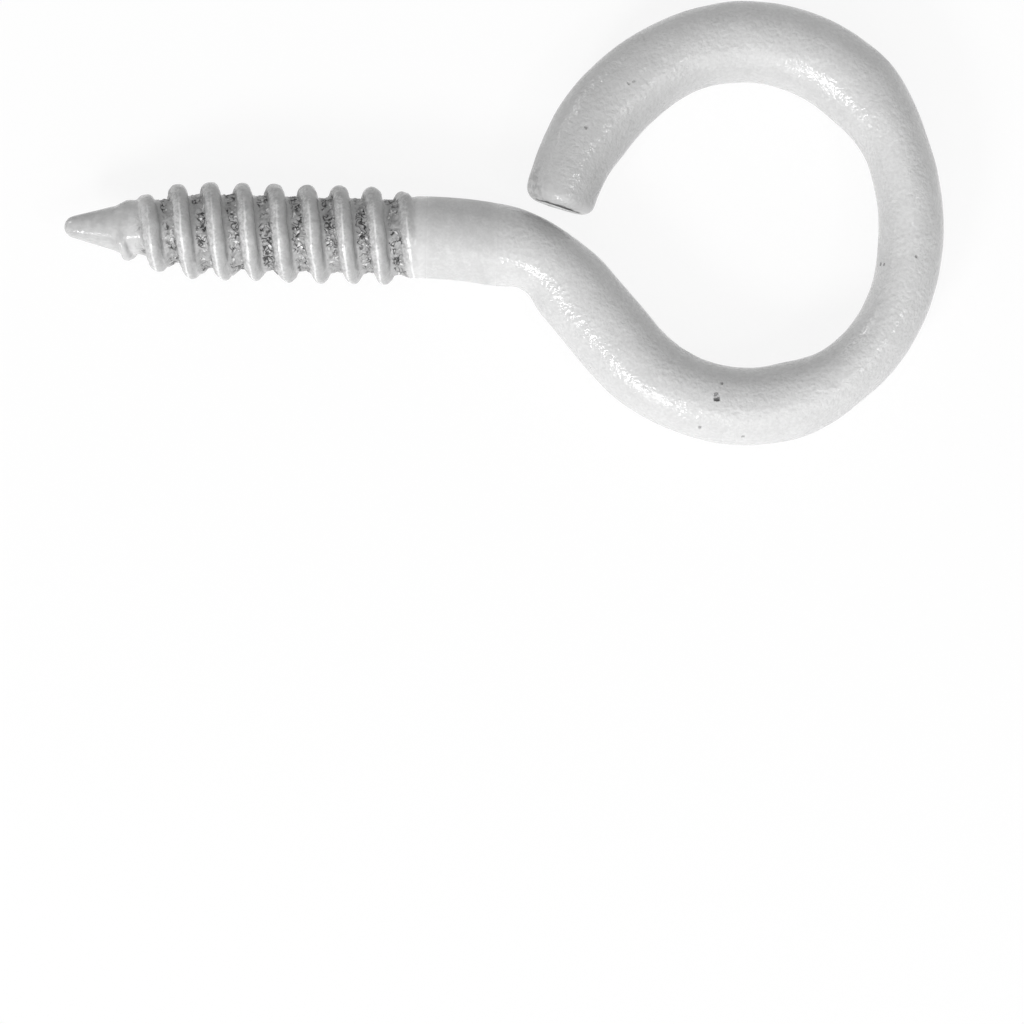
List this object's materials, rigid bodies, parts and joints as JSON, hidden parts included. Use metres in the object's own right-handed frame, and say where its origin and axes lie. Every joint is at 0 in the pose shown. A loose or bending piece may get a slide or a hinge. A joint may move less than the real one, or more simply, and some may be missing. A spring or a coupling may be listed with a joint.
{
  "type": "screw eye",
  "caption": "Painted steel screw eye: round wire with a rolled wood-screw thread and point, bent at the neck and wound into an open eye.",
  "frame": {"origin": "on the shank's axis where the thread ends, which is the face of the wood when the eye is driven home", "axes": "+X along the shank from the point to the eye, +Z square to the eye's plane and up as it lies flat, +Y to the side on which the eye is open"},
  "size_m": [0.044, 0.0222, 0.005],
  "materials": {
    "paint": "satin, light grey-white enamel with fine mottling, small pits, and rough dark patches in the thread's grooves"
  },
  "bodies": {
    "root": {"screw_eye": "paint"}
  },
  "joints": []
}
